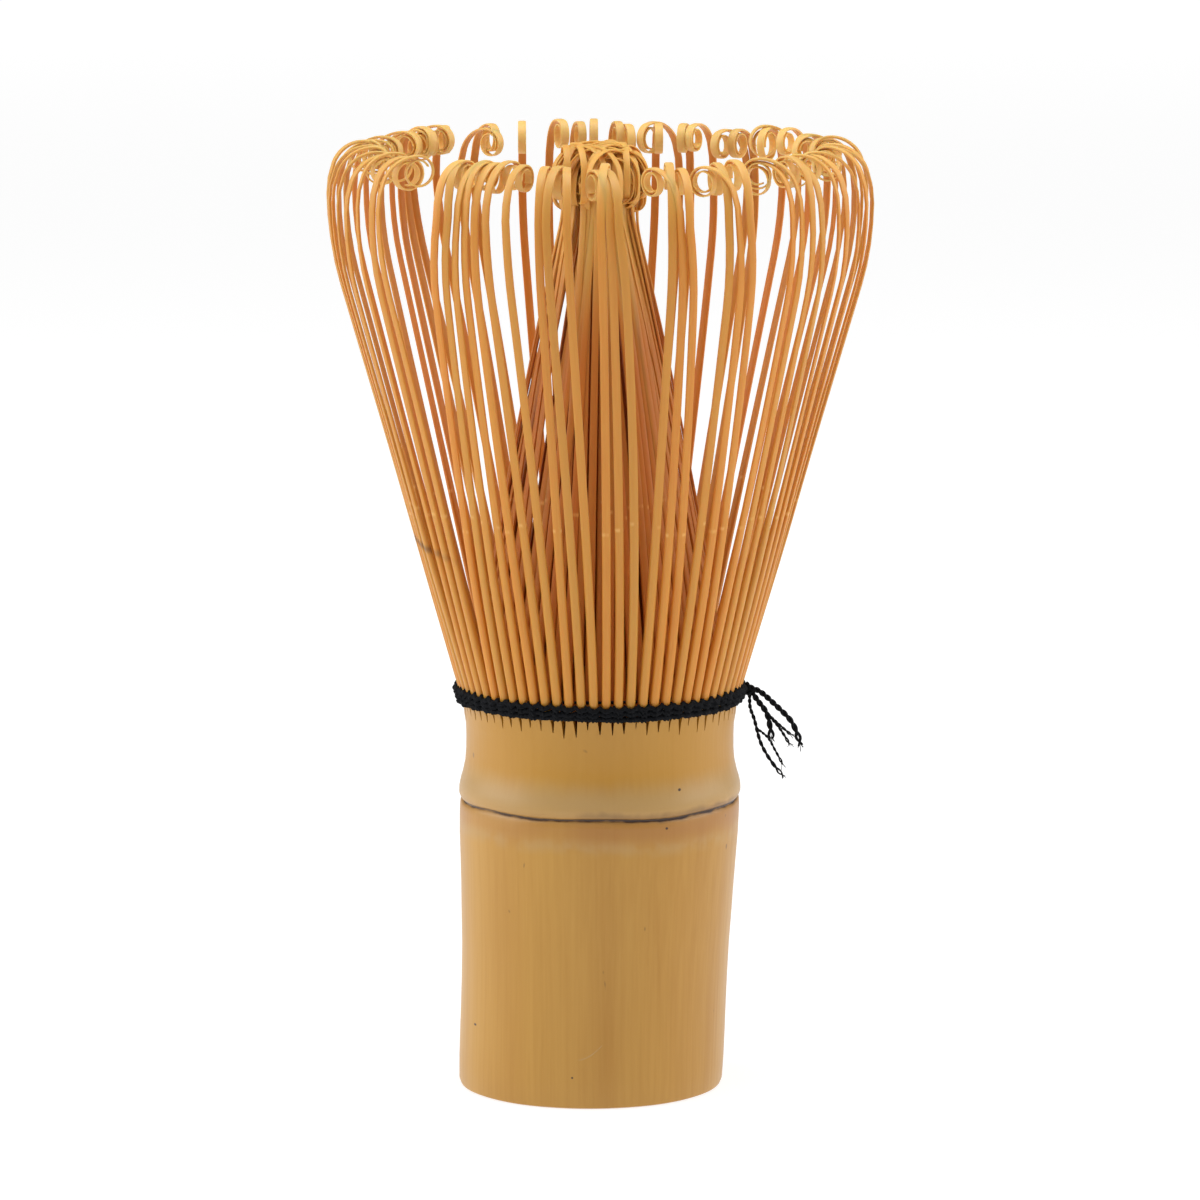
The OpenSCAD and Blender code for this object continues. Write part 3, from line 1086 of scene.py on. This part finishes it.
# How far a ply's centre lies from its thread's, in ply radii, and how far the plies of the binding swell
PLY_OFFSET = 0.55
PLY_SWELL = 1.72

# The ring of a thread: steps for each tine, and sides of a ply
STEPS_PER_TINE = 8
PLY_SIDES = 6


def ring_of_thread(name, radius, height, ply_radius, twists, dip, lift, dice):
    """One turn of two-ply thread about the upper axis, which dips in and rises between the tines."""
    segments = GROUPS * TINES_PER_GROUP * STEPS_PER_TINE
    strands = []
    sag = dice.uniform(0, 2 * math.pi)
    for ply in range(PLIES):
        deselect_all()
        bpy.ops.mesh.primitive_torus_add(
            major_segments=segments, minor_segments=PLY_SIDES, major_radius=radius, minor_radius=ply_radius,
            location=(0, 0, 0))
        strand = new_piece(f"{name}_ply_{ply}")
        points = points_of(strand)
        azimuth = np.arctan2(points[:, 1], points[:, 0])
        outward = np.hypot(points[:, 0], points[:, 1]) - radius
        upward = points[:, 2]
        turn = twists * azimuth + ply * 2 * math.pi / PLIES
        gap = (1 + np.cos(azimuth / TINE_STEP * 2 * math.pi)) / 2
        wander = 0.06 * MM * np.sin(3 * azimuth + sag) + 0.04 * MM * np.sin(8 * azimuth + 2 * sag)
        middle = radius - dip * gap ** 2 + PLY_OFFSET * ply_radius * np.cos(turn)
        reach = middle + outward
        level = height + wander + lift * gap ** 2 + PLY_OFFSET * ply_radius * np.sin(turn) + upward
        move_points(strand, np.stack([AXIS_X + reach * np.cos(azimuth), reach * np.sin(azimuth), level], 1))
        set_uv(strand, np.arctan2(upward, outward) * ply_radius, azimuth * radius)
        strands.append(strand)
    return join(strands, name)


def rounded_route(corners, stations):
    """Evenly spaced points on a smooth curve through listed corners, in metres."""
    corners = np.array(corners, float) * MM
    ends = np.concatenate([[2 * corners[0] - corners[1]], corners, [2 * corners[-1] - corners[-2]]])
    points = []
    for i in range(1, len(ends) - 2):
        a, b, c, d = ends[i - 1], ends[i], ends[i + 1], ends[i + 2]
        for t in np.linspace(0, 1, 24, endpoint=False):
            curve = 2 * b + (c - a) * t + (2 * a - 5 * b + 4 * c - d) * t ** 2
            points.append(0.5 * (curve + (3 * b - a - 3 * c + d) * t ** 3))
    points.append(corners[-1])
    points = np.array(points)
    run = run_along(points)
    spots = np.linspace(0, run[-1], stations)
    return np.stack([np.interp(spots, run, points[:, axis]) for axis in range(3)], 1), run[-1]


# The frayed tails: stations along a strand and along a fibre, how far the plies part at the end, and the
# number, length and thickness of the loose fibres of a strand
TAIL_STATIONS = 72
FIBRE_STATIONS = 10
FRAY = 0.8
FIBRES = 5
FIBRE_LENGTH = 1.0 * MM
FIBRE_THICKNESS = 0.07 * MM


def sidelong(stations):
    """Rough across directions for a strand that runs mostly in the XZ plane."""
    return np.tile(np.array([0.0, 1.0, 0.0]), (stations, 1))


def round_route(points, rough, thickness, dice):
    """A route for a round strand."""
    return {
        "points": points, "across": rough, "width": thickness, "thickness": thickness,
        "offset": dice.uniform(0, 0.01), "tint": dice.random(),
    }


def twisted_tail(name, corners, diameter, pitch, dice):
    """A two-ply tail along listed corners, whose plies part over the last stretch."""
    middle, length = rounded_route(corners, TAIL_STATIONS)
    rough = sidelong(TAIL_STATIONS)
    across, facing = frames_along(middle, rough)
    share = np.linspace(0, 1, TAIL_STATIONS)
    start = dice.uniform(0, 2 * math.pi)
    routes = []
    for ply in range(PLIES):
        turn = start + ply * 2 * math.pi / PLIES + share * length / pitch * 2 * math.pi * (1 - 0.25 * share)
        parting = diameter / 4 * (1 + FRAY * ease((share - 0.8) / 0.2))
        offset = across * (parting * np.cos(turn))[:, None] + facing * (parting * np.sin(turn))[:, None]
        thick = diameter / 2 * (1 - 0.45 * ease((share - 0.9) / 0.1))
        routes.append(round_route(middle + offset, rough, thick * 1.08, dice))
    return lay(round_blank(name, PLIES, TAIL_STATIONS), routes)


def loose_fibres(name, end, heading, dice):
    """Fine fibres that stand off the frayed end of a strand."""
    share = np.linspace(0, 1, FIBRE_STATIONS)[:, None]
    thick = np.full(FIBRE_STATIONS, FIBRE_THICKNESS)
    routes = []
    for _ in range(FIBRES):
        spread = np.array([dice.uniform(-1, 1), dice.uniform(-1, 1), dice.uniform(-0.6, 0.4)])
        reach = FIBRE_LENGTH * dice.uniform(0.5, 1)
        points = end + (heading * share + 0.5 * spread * share ** 2) * reach
        routes.append(round_route(points, sidelong(FIBRE_STATIONS), thick, dice))
    return lay(round_blank(name, FIBRES, FIBRE_STATIONS), routes)


# Corners of the tails' routes in millimetres, as the frame's own tails lie
TAIL_1 = [(17.3, -0.1, 45.2), (17.9, -0.2, 44.8), (19, -0.4, 44.3), (20.6, -0.6, 42.9), (22.2, -0.8, 41.3),
          (22.9, -0.9, 40), (23.4, -1, 38.4)]
TAIL_2 = [(17.3, 0, 44.9), (17.9, 0.1, 44.3), (18.6, 0.2, 43.3), (19.6, 0.3, 41.9), (20, 0.4, 40.4),
          (20.2, 0.4, 38.9)]
TAIL_2_STRAND_A = [(19.5, 0.3, 42), (20.9, 0.7, 40.6), (22.3, 1, 39.3)]
TAIL_2_STRAND_B = [(19.5, 0.3, 42), (21, -0.1, 40.3), (22.2, -0.2, 38.4)]
TAIL_3 = [(17.4, 0.2, 44.6), (17.7, 0.4, 44.2), (17.8, 0.9, 42.4), (18.3, 1.2, 40.9), (18.9, 1.3, 38.6),
          (19.6, 1.4, 37.1), (20.6, 1.5, 35.6), (21.6, 1.6, 34.4)]
TAIL_3_STRAND = [(18.5, 1.2, 40), (19.8, 1.8, 38.8), (20.6, 2, 37.4), (21.5, 2.1, 35.7)]

# The strands of each tail, with their thickness and the pitch of their twist in millimetres
TAILS = {
    "thread_tail_1": [(TAIL_1, 0.65, 1.3)],
    "thread_tail_2": [(TAIL_2, 0.65, 1.3), (TAIL_2_STRAND_A, 0.32, 0.9), (TAIL_2_STRAND_B, 0.34, 0.9)],
    "thread_tail_3": [(TAIL_3, 0.42, 1.2), (TAIL_3_STRAND, 0.30, 0.9)],
}

# The binding: how far its top turn lies below the top of the crown, the height from turn to turn, how far the
# thread dips in between two tines, how much each turn rises there in millimetres, lowest first, and its twists
TOP_TURN_DROP = 0.5 * MM
TURN_PITCH = 0.50 * MM
THREAD_DIP = 0.28 * MM
TURN_LIFTS = (0.06, 0.24, 0.40)
THREAD_TWISTS = 144
SEPARATOR_TWISTS = 108
KNOT_STATIONS = 90


class WHISK_OT_binding(bpy.types.Operator):
    """Models the binding thread, the separating thread and the knot"""
    bl_idname = "whisk.binding"
    bl_label = "Binding"

    def execute(self, context):
        thread = context.scene.whisk_thread
        tines = context.scene.whisk_tines
        dice = random.Random(3)
        material = thread_material(thread)
        ply = thread.diameter / 4 * PLY_SWELL
        turns = []
        for turn in range(thread.turns):
            height = CROWN_Z - TOP_TURN_DROP - (thread.turns - 1 - turn) * TURN_PITCH
            radius = crown_face(tines, height) + thread.diameter / 2
            lift = TURN_LIFTS[turn] * MM
            turns.append(ring_of_thread(
                f"turn_{turn}", radius, height, ply, THREAD_TWISTS, THREAD_DIP, lift, dice))
        binding = join(turns, "binding_thread_wound")
        between = (OUTER_ROOT_R + INNER_ROOT_R) / 2
        separator = ring_of_thread(
            "separator_thread_run", between, CROWN_Z + 0.25 * MM, 0.15 * MM, SEPARATOR_TWISTS, 0.0, 0.0, dice)
        knot = self.knot(dice)
        nodes = {"binding_thread": binding, "separator_thread": separator, "binding_knot": knot}
        for node, piece in nodes.items():
            smooth(piece, THREAD_CREASE)
            paint(piece, material)
            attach(piece, "handle")
            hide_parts(node)
        return {"FINISHED"}

    def knot(self, dice):
        """A small overhand knot where the thread ends."""
        low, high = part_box("binding_knot")
        t = np.linspace(0, 2 * math.pi, KNOT_STATIONS)
        size = 0.1125 * (high.x - low.x)
        loops = np.stack([
            0.8 * (np.cos(t) + 2 * np.cos(2 * t)),
            0.77 * np.sin(3 * t),
            0.8 * (np.sin(t) - 2 * np.sin(2 * t)),
        ], 1)
        points = np.array((low + high) / 2) + loops * size
        rough = sidelong(KNOT_STATIONS) + 0.01
        across, facing = frames_along(points, rough)
        thick = np.full(KNOT_STATIONS, 0.30 * MM)
        routes = []
        for ply in range(PLIES):
            turn = 9 * t + ply * math.pi
            offset = 0.12 * MM * (across * np.cos(turn)[:, None] + facing * np.sin(turn)[:, None])
            routes.append(round_route(points + offset, rough, thick, dice))
        return lay(round_blank("binding_knot_tied", PLIES, KNOT_STATIONS), routes)


class WHISK_OT_tails(bpy.types.Operator):
    """Models the frayed tails of the thread"""
    bl_idname = "whisk.tails"
    bl_label = "Thread tails"

    def execute(self, context):
        dice = random.Random(21)
        material = thread_material(context.scene.whisk_thread)
        for node, strands in TAILS.items():
            parts = []
            for index, (corners, diameter, pitch) in enumerate(strands):
                name = f"{node}_part_{index}"
                parts.append(twisted_tail(name, corners, diameter * MM, pitch * MM, dice))
                end = np.array(corners[-1]) * MM
                heading = end - np.array(corners[-2]) * MM
                heading = heading / np.linalg.norm(heading)
                rooted = end - heading * 0.5 * MM
                parts.append(loose_fibres(f"{name}_fibres", rooted, heading, dice))
            piece = join(parts, f"{node}_frayed")
            smooth(piece, THREAD_CREASE)
            paint(piece, material)
            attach(piece, "handle")
            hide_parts(node)
        return {"FINISHED"}


# ---------------------------------------------------------------- the panel and the run

class WHISK_PT_panel(bpy.types.Panel):
    """Lists the whisk's pieces in the sidebar"""
    bl_label = "Whisk"
    bl_idname = "WHISK_PT_panel"
    bl_space_type = "VIEW_3D"
    bl_region_type = "UI"
    bl_category = "Whisk"

    def draw(self, context):
        for step in STEPS:
            self.layout.operator(step.bl_idname)


SETTINGS = {
    "whisk_culm": CulmSettings,
    "whisk_tines": TineSettings,
    "whisk_thread": ThreadSettings,
    "whisk_stage": StageSettings,
}
STEPS = (
    WHISK_OT_stage,
    WHISK_OT_culm,
    WHISK_OT_outer_tines,
    WHISK_OT_inner_tines,
    WHISK_OT_binding,
    WHISK_OT_tails,
)


def register():
    """Adds the settings, the operators and the panel."""
    for name, group in SETTINGS.items():
        bpy.utils.register_class(group)
        setattr(bpy.types.Scene, name, bpy.props.PointerProperty(type=group))
    for step in STEPS:
        bpy.utils.register_class(step)
    bpy.utils.register_class(WHISK_PT_panel)


def unregister():
    """Takes away what register added."""
    bpy.utils.unregister_class(WHISK_PT_panel)
    for step in reversed(STEPS):
        bpy.utils.unregister_class(step)
    for name, group in SETTINGS.items():
        delattr(bpy.types.Scene, name)
        bpy.utils.unregister_class(group)


def main():
    """Builds the whole whisk."""
    register()
    bpy.ops.whisk.stage()
    bpy.ops.whisk.culm()
    bpy.ops.whisk.outer_tines()
    bpy.ops.whisk.inner_tines()
    bpy.ops.whisk.binding()
    bpy.ops.whisk.tails()


if __name__ == "__main__":
    main()
